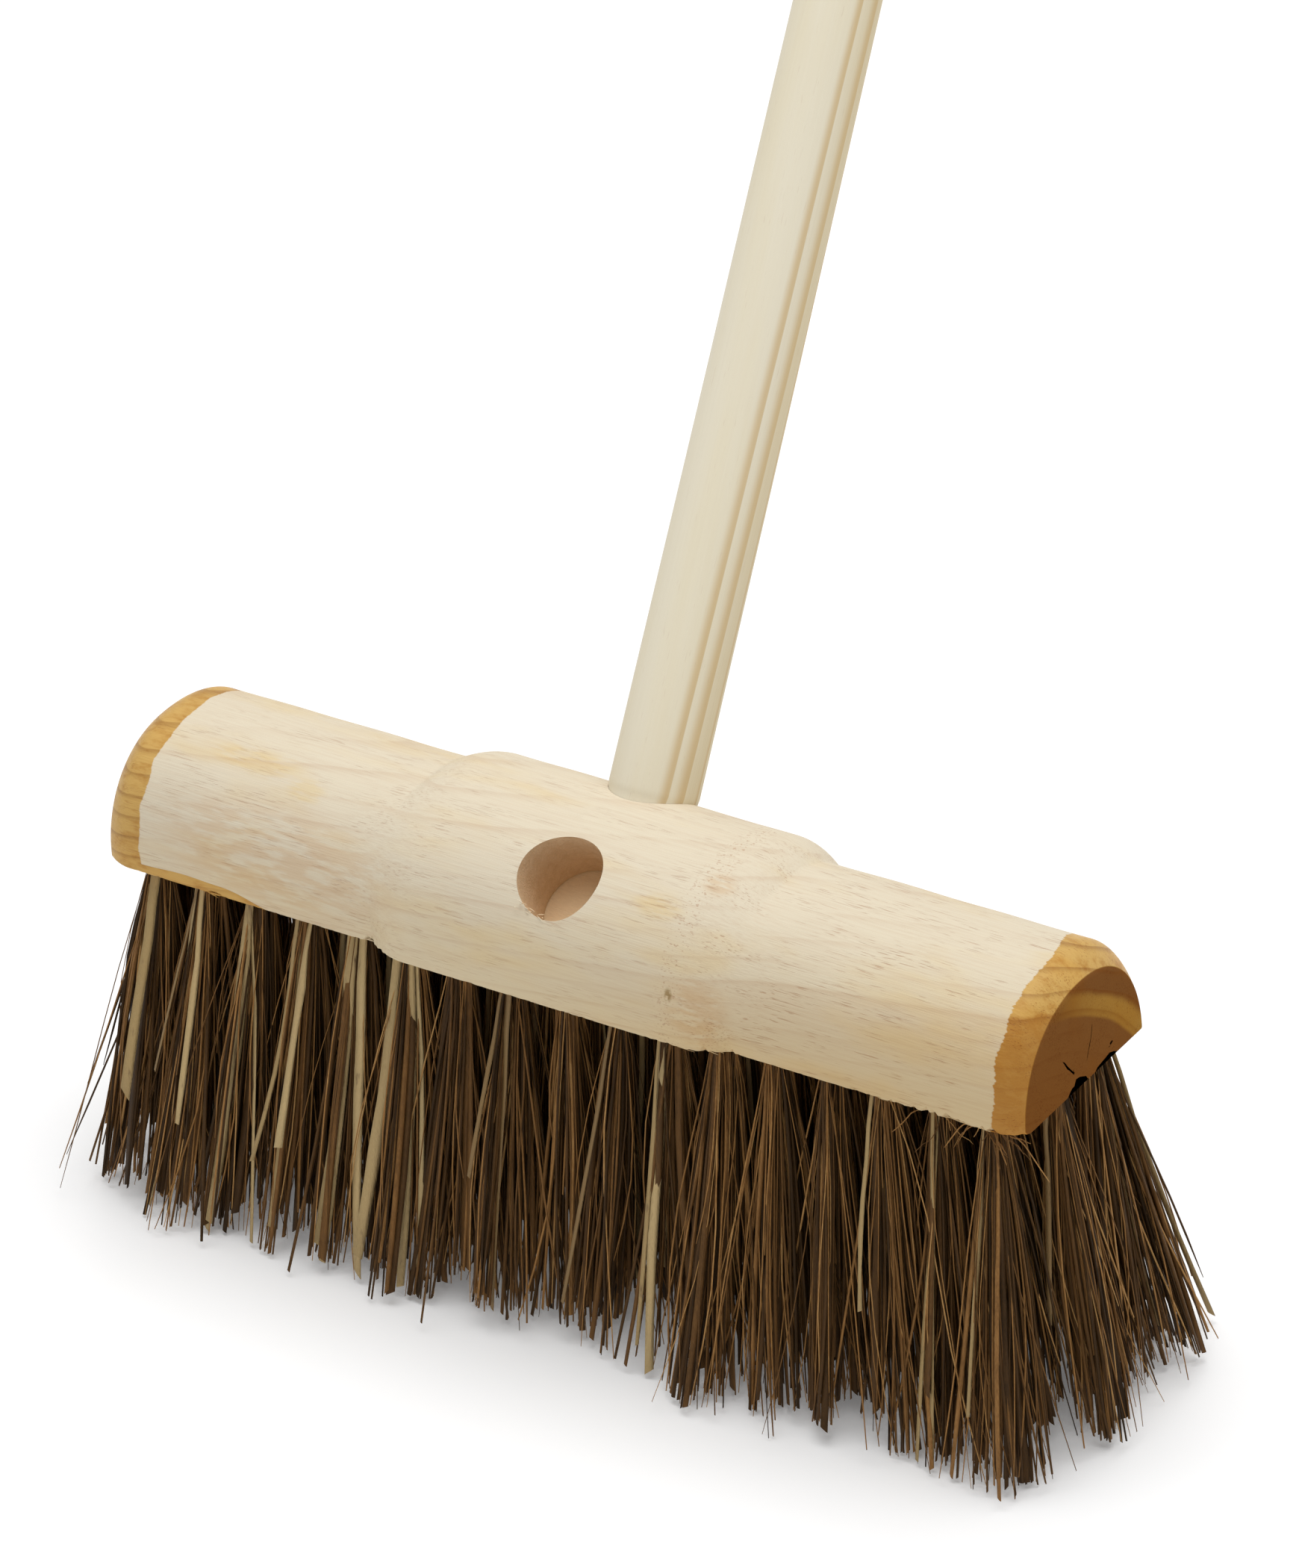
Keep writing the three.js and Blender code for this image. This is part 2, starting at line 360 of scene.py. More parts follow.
def varnish_share(shader, place):
    """1 where the stock's ends were dipped in amber varnish, with an uneven edge."""
    x, y, z = shader.split(place)
    teeth = shader.noise(place, (9, 1.0, 1.0))
    swell = shader.noise(place, (30, 11, 11), detail=1)
    rough = shader.scaled(shader.step(x, -20, 20), 0.5, 0.4)
    wobble = shader.times(shader.scaled(teeth, 2.4, -1.2), rough)
    wobble = shader.plus(wobble, shader.scaled(swell, 3.6, -1.8))
    edge = shader.plus(x, wobble)
    lean = shader.times(shader.larger(y, 0), 0.26)
    right = shader.step(shader.plus(edge, lean), VARNISH_RIGHT - 0.25, VARNISH_RIGHT + 0.25)
    left = shader.step(edge, VARNISH_LEFT + 0.25, VARNISH_LEFT - 0.25)
    limit = shader.times(shader.step(x, DRIP_END, DRIP_END - 22), DRIP_HEIGHT)
    limit = shader.plus(limit, shader.scaled(swell, 3.0, -2.0))
    low = shader.math("LESS_THAN", shader.minus(z, UNDERSIDE / MM), limit)
    near = shader.math("LESS_THAN", y, -20)
    drip = shader.times(shader.times(low, near), shader.step(x, DRIP_END + 1, DRIP_END - 2))
    return shader.larger(shader.larger(left, right), drip)


def end_share(shader, place):
    """1 on the sawn end faces."""
    x = shader.math("ABSOLUTE", shader.split(place)[0])
    edge = HALF_LENGTH / MM
    return shader.step(x, edge - 0.75, edge - 0.45)


def near_point(shader, place, centre, size):
    """1 at a point, falling to 0 at the half sizes given, its height being above the underside."""
    centre = Vector(centre) + Vector((0, 0, UNDERSIDE / MM))
    away = shader.vector("DIVIDE", shader.vector("SUBTRACT", place, centre), size)
    return shader.step(shader.vector("LENGTH", away), 1.0, 0.35)


KNOT = (45.8, -38.8, 16.3)
KNOT_COLOUR = (0.30, 0.19, 0.07)
SPECK_BAND_X = 46
SPECK_BAND_HALF = 7

WARM_TINT = (1.0, 0.935, 0.79)
PINK_TINT = (0.94, 0.85, 0.77)
# Pale yellow and pinkish patches: centre and half size along, across and up.
TINTED_PATCHES = (
    ((-118, -14, 37), (24, 7, 7), WARM_TINT),
    ((-96.7, -19, 35.3), (9, 6, 5), WARM_TINT),
    ((35.5, -25.9, 36.6), (11, 5, 8), WARM_TINT),
    ((-100, -33, 18), (62, 16, 24), PINK_TINT),
    ((50, -14, 42), (7, 6, 5), PINK_TINT),
    ((55, -38, 12), (14, 9, 16), PINK_TINT),
)


def stock_patches(shader, place, colour):
    """Broad patches where the planed pine is yellower or pinker, with ragged borders."""
    ragged = shader.step(shader.noise(place, (12, 2.5, 2.5)), 0.36, 0.56)
    for centre, size, tint in TINTED_PATCHES:
        share = shader.times(near_point(shader, place, centre, size), ragged)
        colour = shader.mix(share, colour, tint, "MULTIPLY")
    return colour


def stock_marks(shader, place, colour):
    """The small knot on the near face, and the specks where the boss ends on the right."""
    knot = near_point(shader, place, KNOT, (1.7, 3, 2.9))
    rough = shader.noise(place, (1.4, 1.4, 1.4), detail=2)
    knot = shader.times(knot, shader.step(rough, 0.35, 0.55))
    colour = shader.mix(shader.times(knot, 0.8), colour, KNOT_COLOUR)
    away = shader.math("ABSOLUTE", shader.minus(shader.split(place)[0], SPECK_BAND_X))
    band = shader.step(away, SPECK_BAND_HALF, 1)
    dots = shader.step(shader.noise(place, (1.2, 0.75, 0.75), detail=1), 0.61, 0.67)
    return shader.mix(shader.times(shader.times(band, dots), 0.5), colour, PINE_FLECK)


def amber_tint(shader, place, ring, heart_and_shade):
    """What the varnish multiplies the wood by: deeper on the heart side, where it is partly painted
    shade, and on the end faces.
    """
    mottle = shader.noise(place, (11, 4, 4), detail=4, roughness=0.65)
    depth = shader.plus(shader.times(heart_and_shade, 0.8), shader.step(mottle, 0.44, 0.72))
    amber = shader.mix(shader.math("MINIMUM", depth, 1), AMBER_THIN, AMBER_DEEP)
    x, y = shader.split(place)[:2]
    gold = shader.times(shader.step(ring, 102, 99), shader.step(y, -24, 14))
    end = shader.mix(gold, AMBER_END_RIM, AMBER_END)
    end = shader.mix(shader.step(ring, HEART_RADIUS - 1.6, HEART_RADIUS - 3), end, AMBER_END_HEART)
    amber = shader.mix(end_share(shader, place), amber, end)
    share = shader.scaled(shader.step(x, -20, 20), 0.04, 0.36)
    share = shader.times(share, shader.step(ring, HEART_RADIUS - 8, HEART_RADIUS + 10))
    return shader.mix(shader.times(growth_line(shader, ring), share), amber, AMBER_LINE)


def stock_material(name, specular):
    shader = Shader(name)
    place = shader.place()
    ring = stock_rings(shader, place)
    flecks = pine_flecks(shader, place)
    share = shader.scaled(shader.step(shader.split(place)[0], 30, 75), 0.24, 0.36)
    bare = stock_pine_colour(shader, place, ring)
    bare = shader.mix(shader.times(flecks, share), bare, PINE_FLECK)
    # Painted shade: browner and darker towards the pith, so the lower near face darkens; partly the
    # wood's own tone.
    bare = shader.mix(shader.step(ring, 118, 60), bare, PITH_AND_LOW_SHADE_TINT, "MULTIPLY")
    heart_and_shade = heart_and_shade_share(shader, place, ring)
    # Painted shade: the heart side below a growth ring on the near face is darkened; partly the
    # heartwood's own tone.
    bare = shader.mix(shader.times(heart_and_shade, 0.85), bare, HEART_AND_SHADE_TINT, "MULTIPLY")
    bare = stock_marks(shader, place, stock_patches(shader, place, bare))
    varnished = shader.mix(1.0, bare, amber_tint(shader, place, ring, heart_and_shade), "MULTIPLY")

    varnish = varnish_share(shader, place)
    shader.set(Base_Color=shader.mix(varnish, bare, varnished))
    shader.set(Roughness=shader.scaled(varnish, -0.27, 0.66), Specular_IOR_Level=specular)
    grain = shader.noise(place, (20, 0.45, 0.45))
    height = shader.scaled(flecks, -0.35, grain)
    shader.bump(shader.scaled(varnish, 0.5, height), 0.00012)
    return shader.material


def lit_floor_share(shader, place):
    """1 on the floors of the two sockets, which lie across the sockets' axes; there the drilled wood
    is painted paler, as lit.
    """
    y, z = shader.split(place)[1:]
    tilt = Vector((0, math.sin(SOCKET_TILT), math.cos(SOCKET_TILT)))
    height = shader.scaled(shader.math("ABSOLUTE", y), tilt.y, shader.times(z, tilt.z))
    level = tilt.dot(SOCKET_FLOOR) / MM
    return shader.step(height, level + 0.15, level + 0.05)


def drilled_material():
    """The walls of the drilled holes: cut across the grain, browner and rougher."""
    shader = Shader("drilled_pine")
    place = shader.place()
    tone = shader.noise(place, (3, 3, 3), detail=4, roughness=0.7)
    torn = shader.noise(place, (2.5, 0.5, 0.5))
    colour = shader.mix(shader.step(tone, 0.3, 0.7), PINE_CUT, (0.68, 0.48, 0.27))
    # Painted light: the sockets' floors are paler than their walls, as lit from above through the
    # sockets' mouths.
    colour = shader.mix(lit_floor_share(shader, place), colour, (0.95, 0.74, 0.46))
    colour = shader.mix(shader.times(torn, 0.32), colour, PINE_FLECK)
    shader.set(Base_Color=colour, Roughness=0.85)
    shader.bump(torn, 0.0003)
    return shader.material


# ---- Stock ----

ARCH_STEPS = 104
BASE_STEPS = 26
STATION = 0.95 * MM
CAP_RINGS = 6
EDGE_EASE = 0.7 * MM
SOFT_START = 38 * MM  # the near face eases from boss to arm over a longer stretch
SOFT_FOOT = 84 * MM
# Where the lower edges are torn: start and end along the stock, and how much further up.
NEAR_TORN_ZONES = ((-70, -54, 1.9), (42, 68, 1.5), (112, 160, 2.3), (-128, -118, 1.0))
FAR_TORN_ZONES = ((-30, 10, 0.8), (90, 120, 1.2))


def section_at(x, soft=False):
    """Width, height and power of the section at a distance along the stock."""
    distance = abs(x)
    start, end = BOSS, ARM
    if soft and distance < SOFT_FOOT:
        share = np.clip((distance - SOFT_START) / (SOFT_FOOT - SOFT_START), 0, 1)
        share = share**2 * (3 - 2 * share)
    elif distance <= BOSS_FOOT:
        share = max(0, (distance - BOSS_HALF) / (BOSS_FOOT - BOSS_HALF)) ** 2
    else:
        share = max(0, (distance - HALF_LENGTH + END_ROUNDING) / END_ROUNDING) ** 2
        start, end = ARM, END_FACE
    return start + (end - start) * min(1, share)


def torn_edge(stations, rng, zones):
    """How far up the edge under the stock is broken away, at each station."""
    fine = abs(wave_noise(stations, 3.5 * MM, rng))
    broad = abs(wave_noise(stations, 14 * MM, rng))
    depth = 0.25 * MM + 0.22 * MM * fine * broad
    for start, end, extra in zones:
        middle = (start + end) / 2 * MM
        half = (end - start) / 2 * MM
        share = np.clip(1.4 - abs(stations - middle) / half, 0, 1)
        depth += share * extra * MM * np.clip(fine * broad, 0, 1.3)
    return depth


def arch(section, near_tear, far_tear, shrink):
    """The curved part of a section, from the far edge over the top to the near edge."""
    width, height, power = section
    top = height - shrink
    start = math.asin((far_tear / top) ** (power / 2))
    end = math.pi - math.asin((near_tear / top) ** (power / 2))
    angles = np.linspace(start, end, ARCH_STEPS + 1)
    across = np.cos(angles)
    y = (width / 2 - shrink) * np.sign(across) * abs(across) ** (2 / power)
    z = top * np.sin(angles) ** (2 / power)
    z[0], z[-1] = far_tear, near_tear
    return y, z


def stock_ring(x, near_tear, far_tear):
    """One closed section: over the arch from the far edge to the near one, and back below.

    The near face follows the softer section, except along the crest and the lower edge.
    """
    shrink = ease_shrink(x)
    half = section_at(x)[0] / 2 - shrink
    y, z = arch(section_at(x), near_tear, far_tear, shrink)
    soft_y, soft_z = arch(section_at(x, soft=True), near_tear, far_tear, shrink)
    place = np.linspace(0, 1, ARCH_STEPS + 1)
    soft = 0.85 * np.interp(place, [0, 0.52, 0.66, 0.92, 0.985, 1], [0, 0, 1, 1, 0, 0])
    y += (soft_y - y) * soft
    z += (soft_z - z) * soft
    base = np.linspace(-half + near_tear * 0.8, half - far_tear * 0.8, BASE_STEPS + 1)
    y = np.append(y, base)
    z = np.append(z, np.zeros_like(base))
    return np.column_stack([np.full(len(y), x), y, UNDERSIDE + z])


def end_cap(ring):
    """Smaller copies of an end ring, drawn in towards its middle."""
    middle = ring.mean(axis=0)
    shares = np.linspace(1, 0.08, CAP_RINGS + 1)[1:]
    return [middle + (ring - middle) * share for share in shares]


def stock_stations():
    inner = np.arange(-HALF_LENGTH + 1.2 * MM, HALF_LENGTH - 1.1 * MM, STATION)
    ease = np.array([1.0, 0.7, 0.42, 0.22, 0.08, 0]) * EDGE_EASE
    return np.concatenate([-HALF_LENGTH + ease[::-1], inner, HALF_LENGTH - ease])


def ease_shrink(x):
    """How much the rounded rim takes off a section close to an end face."""
    inside = max(0, 1 - (HALF_LENGTH - abs(x)) / EDGE_EASE)
    return EDGE_EASE * (1 - math.sqrt(1 - inside**2))


def stock_blank(rng):
    stations = stock_stations()
    near = torn_edge(stations, rng, NEAR_TORN_ZONES)
    far = torn_edge(stations, rng, FAR_TORN_ZONES)
    rings = [stock_ring(*station) for station in zip(stations, near, far)]
    rings = end_cap(rings[0])[::-1] + rings + end_cap(rings[-1])
    points = np.concatenate(rings)
    points[:, 2] += uneven_lift(points)
    return closed_mesh("stock_blank", points, tube_faces(len(rings), len(rings[0])))


def uneven_lift(points):
    """Hand-finishing leaves the curved surface slightly uneven; the flat faces stay flat."""
    x, y, z = points.T
    lift = np.sin(x * 61 + y * 90) * np.sin(y * 140 - x * 33 + 1) + np.sin(x * 170 + z * 120)
    raised = np.clip((z - UNDERSIDE) / (8 * MM), 0, 1)
    inward = np.clip((HALF_LENGTH - abs(x)) / (8 * MM), 0, 1)
    return lift * raised * inward * 0.10 * MM


def socket_cutters():
    """Both sockets, with the ring that the drill's rim scores round their floors."""
    scored = SOCKET_RADIUS + 0.3 * MM
    profile = [(scored, 0), (scored, 0.45 * MM), (SOCKET_RADIUS, 0.5 * MM), (SOCKET_RADIUS, 60 * MM)]
    meshes = []
    for side in (-1, 1):
        mesh = lathe("cutter", profile, 96)
        lean = Matrix.Rotation(-side * SOCKET_TILT, 4, "X")
        floor = Vector((0, side * SOCKET_FLOOR.y, SOCKET_FLOOR.z))
        mesh.transform(Matrix.Translation(floor) @ lean)
        meshes.append(mesh)
    return joined("socket_cutters", meshes)


def hole_cutters(roots):
    meshes = []
    for root in roots:
        mesh = lathe("cutter", [(HOLE_RADIUS, -5 * MM), (HOLE_RADIUS, root["depth"])], 28)
        slant = Matrix.Translation((*root["mouth"], UNDERSIDE))
        slant[0][2], slant[1][2] = root["slant"]
        mesh.transform(slant)
        meshes.append(mesh)
    return joined("hole_cutters", meshes)


# Splits and broken-out notches in the end faces: y and height of their points, and their depth.
RIGHT_NOTCHES = (
    ([(-11.5, -1), (-8, 1.8), (-6.5, 2.0), (-5.2, 4.0), (-3, 3.6), (0.5, 1.8), (2.4, -1)], 1.7),
    ([(3.6, -1), (6, 1.0), (11, 1.8), (13.5, 2.3), (16, 1.4), (20, -1)], 1.4),
    ([(-12.3, 14.6), (-10.9, 13.4), (-8.2, 9.2), (-5.3, 5.6), (-6.0, 5.1), (-9.6, 9.6)], 1.1),
    ([(12.8, 4.1), (13.3, 3.7), (15.7, 4.9), (15.4, 5.5), (14.2, 5.4)], 1.0),
    ([(5.3, 18.2), (5.1, 18.3), (3.9, 13.1), (1.9, 8.6), (0.4, 4.3), (2.2, 8.5), (4.2, 13.1)], 0.6),
)
LEFT_NOTCHES = (
    ([(-14, -1), (-11, 1.6), (-8, 2.4), (-5, -1)], 2.2),
    ([(4, -1), (7, 1.4), (10, 2.6), (13, -1)], 1.8),
)


def notch_cutter(side, outline, depth):
    """A wedge let into an end face, widest at the face."""
    outline = np.array(outline) * MM
    middle = outline.mean(axis=0)
    outer = np.column_stack([np.full(len(outline), 0.8 * MM), outline])
    inner = middle + (outline - middle) * (0.75, 0.6)
    inner = np.column_stack([np.full(len(outline), -depth * MM), inner])
    points = np.concatenate([outer, inner]) + (HALF_LENGTH, 0, UNDERSIDE)
    points[:, 0] *= side
    faces = tube_faces(2, len(outline))
    if side * np.cross(outline[1] - outline[0], outline[2] - outline[1]) < 0:
        faces = [face[::-1] for face in faces]
    return closed_mesh("notch", points, faces)


# Where splinters lie on the near lower edge: start and end along the stock, and how many.
SPLINTER_ZONES = ((-74, -62, 4), (46, 70, 5), (108, 158, 20), (-128, -116, 4), (-20, 20, 3))

# The torn fibres on the lower rim of the near socket, above the underside.
TORN_RIM = ((-8.3, -33.4, 29.2), (-6.1, -34.4, 27.7), (-1.7, -34.7, 26.8))


def splinters(rng):
    """Thin slivers along the torn lower edge and on the rim of the empty socket."""
    meshes = []
    for start, end, count in SPLINTER_ZONES:
        for _ in range(count):
            x = rng.uniform(start, end) * MM
            depth = rng.uniform(0.3, 0.85) * MM
            place = (x, depth - section_at(x)[0] / 2, UNDERSIDE + rng.uniform(-0.1, 0.5) * MM)
            meshes.append(splinter(place, rng.uniform(2.5, 9) * MM, 0.1, rng))
    for x, y, height in TORN_RIM:
        for _ in range(5):
            place = Vector((x, y, height)) * MM + Vector((0, 0, UNDERSIDE))
            place += Vector(rng.normal(0, 0.7 * MM, 3))
            meshes.append(splinter(place, rng.uniform(1.2, 3) * MM, 0.5, rng))
    return joined("splinters", meshes)


def splinter(place, length, swing, rng):
    """A sliver along X, turned at random by about swing radians."""
    width = rng.uniform(0.25, 0.6) * MM
    profile = [(0.03 * MM, -0.5), (width / 2, -0.2), (width / 2.4, 0.2), (0.03 * MM, 0.5)]
    mesh = lathe("splinter", [(radius, share * length) for radius, share in profile], 5)
    dip = Matrix.Rotation(math.pi / 2 + rng.normal(0.06, swing), 4, "Y")
    turn = Matrix.Rotation(rng.normal(0, swing), 4, "Z")
    mesh.transform(Matrix.Translation(place) @ turn @ dip)
    return mesh


def make_stock(roots, materials):
    stock = placed("pine_stock", stock_blank(np.random.default_rng(BLANK_SEED)))
    cut(stock, socket_cutters())
    cut(stock, hole_cutters(roots))
    for side, notches in ((1, RIGHT_NOTCHES), (-1, LEFT_NOTCHES)):
        for outline, depth in notches:
            cut(stock, notch_cutter(side, outline, depth))
    cut(stock, nail_mesh(0.25 * MM))
    slivers = splinters(np.random.default_rng(SPLINTER_SEED))
    stock.data = joined("pine_stock", [stock.data, slivers], smooth_angle=35)
    for material in materials:
        stock.data.materials.append(material)
    mark_faces(stock.data, roots)
    return stock


def mark_faces(mesh, roots):
    """Gives the drilled holes the second material and the sawn ends the third."""
    centres = np.array([face.center for face in mesh.polygons])
    drilled = np.zeros(len(centres), dtype=bool)
    for side in (-1, 1):
        axis = np.array([0, side * math.sin(SOCKET_TILT), math.cos(SOCKET_TILT)])
        away = centres - (0, side * SOCKET_FLOOR.y, SOCKET_FLOOR.z)
        along = away @ axis
        radius = np.linalg.norm(away - along[:, None] * axis, axis=1)
        drilled |= (radius < SOCKET_RADIUS + 0.02 * MM) & (along > -0.1 * MM) & (along < 40 * MM)
    for root in roots:
        height = centres[:, 2:] - UNDERSIDE
        radius = np.hypot(*(centres[:, :2] - root["mouth"] - root["slant"] * height).T)
        inside = (height[:, 0] > 0.01 * MM) & (height[:, 0] < 13 * MM)
        drilled |= (radius < HOLE_RADIUS + 0.02 * MM) & inside
    at_end = abs(centres[:, 0]) > HALF_LENGTH - EDGE_EASE
    indices = np.where(drilled, 1, np.where(at_end, 2, 0))
    mesh.polygons.foreach_set("material_index", indices.astype(np.int32))


# ---- Handle ----

HANDLE_LENGTH = 1370 * MM
HANDLE_SEAT_RADIUS = 13.68 * MM
HANDLE_LOW_RADIUS = 13.95 * MM
HANDLE_HIGH_RADIUS = 12.75 * MM
HANDLE_TAPER_END = 340 * MM
DOME_HEIGHT = 9 * MM
DOME_STEPS = 14
SOCKET_DEPTH = 25 * MM


def handle_profile():
    """Radius and height pairs: seated in the socket, tapering above it, and domed at the top."""
    seat = 0.3 * MM
    along = np.concatenate([np.arange(2, 40, 1.0), np.arange(40, 1361, 6.0)]) * MM
    stations = (SOCKET_DEPTH - 2 * MM, SOCKET_DEPTH, HANDLE_TAPER_END)
    radius = np.interp(along, stations, (HANDLE_SEAT_RADIUS, HANDLE_LOW_RADIUS, HANDLE_HIGH_RADIUS))
    profile = [(0.3 * MM, seat), (HANDLE_SEAT_RADIUS - 2 * MM, seat), *zip(radius, along + seat)]
    for step in range(1, DOME_STEPS):
        angle = math.pi / 2 * step / (DOME_STEPS - 0.5)
        height = HANDLE_LENGTH + seat - DOME_HEIGHT * (1 - math.sin(angle))
        profile.append((HANDLE_HIGH_RADIUS * math.cos(angle), height))
    return profile


def handle_mesh():
    """The turned handle, very slightly bent above its foot."""
    mesh = lathe("pine_handle", handle_profile(), 96, smooth_angle=30)
    points = mesh_points(mesh)
    bend = 0.12 * MM * np.clip((points[:, 2] - 60 * MM) / (100 * MM), 0, 1)
    points[:, 0] += bend * np.sin(points[:, 2] * 17)
    points[:, 1] += bend * np.sin(points[:, 2] * 11 + 1)
    mesh.vertices.foreach_set("co", points.ravel())
    return mesh


# The handle's growth rings face away from the pith. Each dark line: where it crosses the face
# that looks away from the pith, in millimetres from the axis, how that falls along the handle,
# and how wide the line is.
HANDLE_FACING = math.radians(-100)
HANDLE_RINGS = (
    (18.6, 0.0160, 2.1),
    (8.5, 0.0157, 2.7),
    (3.7, 0.0224, 4.2),
    (-3.5, 0.020, 2.1),
    (-10.5, 0.018, 2.1),
)
HANDLE_PITH_DISTANCE = 90

HANDLE_PALE = (0.86, 0.80, 0.635)
HANDLE_WARM = (0.85, 0.775, 0.58)
HANDLE_SHADED_SIDE_TINT = (0.87, 0.80, 0.66)  # painted shade on the side towards the pith, the handle's side turned away from the light
HANDLE_LINE = (0.62, 0.42, 0.17)


def handle_line(shader, toward, z, start, fall, width):
    """One growth ring of the handle: soft on the outer side, crisp on the inner."""
    depth = shader.minus(toward, shader.scaled(z, -fall, start))
    rise = shader.step(depth, width, width * 0.17)
    return shader.times(rise, shader.step(depth, -0.25, 0.02))


def handle_material():
    shader = Shader("handle_pine")
    place = shader.place()
    x, y, z = shader.split(place)
    wave = shader.noise(place, (14, 14, 170), detail=2)
    facing = shader.scaled(y, math.sin(HANDLE_FACING), shader.times(x, math.cos(HANDLE_FACING)))
    beside = shader.scaled(y, math.cos(HANDLE_FACING), shader.times(x, -math.sin(HANDLE_FACING)))
    curve = shader.times(shader.times(beside, beside), 0.5 / HANDLE_PITH_DISTANCE)
    toward = shader.plus(shader.plus(facing, curve), shader.scaled(wave, 1.2, -0.6))
    lines = 0.0
    for ring in HANDLE_RINGS:
        lines = shader.larger(lines, handle_line(shader, toward, z, *ring))
    cloud = shader.noise(place, (12, 12, 120))
    colour = shader.mix(shader.step(cloud, 0.35, 0.75), HANDLE_PALE, HANDLE_WARM)
    streak = shader.noise(place, (0.8, 0.8, 60))
    colour = shader.mix(shader.times(streak, 0.10), colour, PINE_LATE)
    # Painted shade: the handle's side towards the pith is darkened as the side away from the light.
    colour = shader.mix(shader.step(toward, 8, -4), colour, HANDLE_SHADED_SIDE_TINT, "MULTIPLY")
    colour = shader.mix(shader.times(lines, 0.66), colour, HANDLE_LINE)
    flecks = shader.step(shader.noise(place, (0.5, 0.5, 7), detail=2), 0.66, 0.74)
    colour = shader.mix(shader.times(flecks, 0.14), colour, PINE_FLECK)
    rough = shader.scaled(streak, 0.12, 0.52)
    shader.set(Base_Color=colour, Roughness=rough, Specular_IOR_Level=0.35)
    shader.bump(shader.noise(place, (0.4, 0.4, 22)), 0.00008)
    return shader.material


def make_handle(material):
    lean = Matrix.Translation(SOCKET_FLOOR) @ Matrix.Rotation(-SOCKET_TILT, 4, "X")
    handle = placed("pine_handle", handle_mesh(), lean)
    handle.data.materials.append(material)
    return handle


# ---- Nail ----

NAIL_FACE = Vector((0, 38.4 * MM, UNDERSIDE + 16 * MM))
NAIL_LENGTH = 27 * MM


def nail_mesh(margin):
    """The nail along Y, head outwards; the margin makes the hole that it sits in."""
    shank = 1.3 * MM + margin
    head = 2.9 * MM + margin
    face = 4 * MM if margin else 0
    profile = [(0.15 * MM, -NAIL_LENGTH), (shank, -NAIL_LENGTH + 3 * MM)]
    for turn in range(5):
        along = -7.5 * MM + turn * 0.9 * MM
        profile += [(shank, along - 0.2 * MM), (shank + 0.08 * MM, along)]
    profile += [(shank, -1.3 * MM), (head, -0.9 * MM - margin), (head, -0.35 * MM + face)]
    profile += [(head - 0.3 * MM, -0.06 * MM + face), (0.3 * MM, face)]
    mesh = lathe("nail", profile, 36)
    turn = Matrix.Rotation(-math.pi / 2, 4, "X")
    mesh.transform(Matrix.Translation(NAIL_FACE) @ turn)
    return mesh


def nail_material():
    shader = Shader("nail_steel")
    place = shader.place()
    stain = shader.noise(place, (1.2, 1.2, 1.2), detail=4)
    colour = shader.mix(shader.step(stain, 0.45, 0.75), (0.42, 0.42, 0.43), (0.22, 0.15, 0.10))
    shader.set(Base_Color=colour, Metallic=1.0, Roughness=shader.scaled(stain, 0.35, 0.25))
    shader.bump(shader.noise(place, (0.3, 0.3, 0.3), detail=2), 0.00005)
    return shader.material


# ---- Tufts ----

FIBRE_SIDES = 5
FIBRE_STEPS = 7
CURL_STEPS = 12
OUTER_FIBRES = 112
MIDDLE_FIBRES = 76
TIP_CLEARANCE = 0.12 * MM
# Tufts beyond this are splayed outwards by use, by these shares of the distance past it.
SPLAY_START = 130 * MM
SPLAY = {-1: 0.26, 1: 0.10}
STRAY_REACH = {-1: (11, 18), 1: (-3, 5)}  # how far past the CAD tufts, in millimetres

# A kind of strand: width in millimetres and its spread, thickness over width, shares that lean out
# of line and that end short, bow in millimetres, width left at the tip, how far past the end tufts
# they may lean in millimetres, and the two powers of the tone's distribution.
KIND_KEYS = ("width", "vary", "flat", "loose", "short", "bow", "tip", "reach", "tone")


def strand_kind(*values):
    return dict(zip(KIND_KEYS, values, strict=True))


STIFF = strand_kind(1.0, 0.32, 0.55, 0.18, 0.05, 1.3, 0.8, 12, (1.2, 2.2))
THIN = strand_kind(0.48, 0.24, 0.85, 0.42, 0.16, 2.8, 0.55, 12, (3.4, 1.4))
BROAD = strand_kind(2.5, 0.22, 0.28, 0.0, 0.05, 0.9, 0.9, 12, (1.3, 3.6))
PALE = strand_kind(3.0, 0.32, 0.16, 0.2, 0.25, 0.7, 0.92, -6, (0.9, 1.5))
DULL = dict(PALE, width=2.0, tone=(2.6, 1.3))
CURL = dict(THIN, tone=(4, 1.6))
STRAY = strand_kind(0.75, 0.2, 0.8, 0.0, 0.0, 3.5, 0.3, 12, (1.4, 4.0))
FIBRE_MIX = ((STIFF, 0.58), (THIN, 0.37), (BROAD, 0.05))
PALE_END = -40 * MM  # beyond this the strips are fewer and duller
STRIP_WIDTHS = (1.3 * MM, 4.2 * MM)


def ring_centre(points, height):
    """Middle of a tuft's outline at one of its CAD heights."""
    ring = points[abs(points[:, 2] - height) < NEARBY, :2]
    return (ring.min(axis=0) + ring.max(axis=0)) / 2


def tuft_root(points, tips_near, tips_far):
    """A tuft's slanted hole and the patch of floor that its tips cover."""
    tips = points[points[:, 2] < 1 * MM]
    top = points[:, 2].max()
    mouth = ring_centre(points, UNDERSIDE)
    return {
        "mouth": mouth,
        "slant": (ring_centre(points, top) - mouth) / (top - UNDERSIDE),
        "depth": top - UNDERSIDE + 0.3 * MM,
        "low": np.array([tips[:, 0].min(), tips_near]),
        "high": np.array([tips[:, 0].max(), tips_far]),
    }


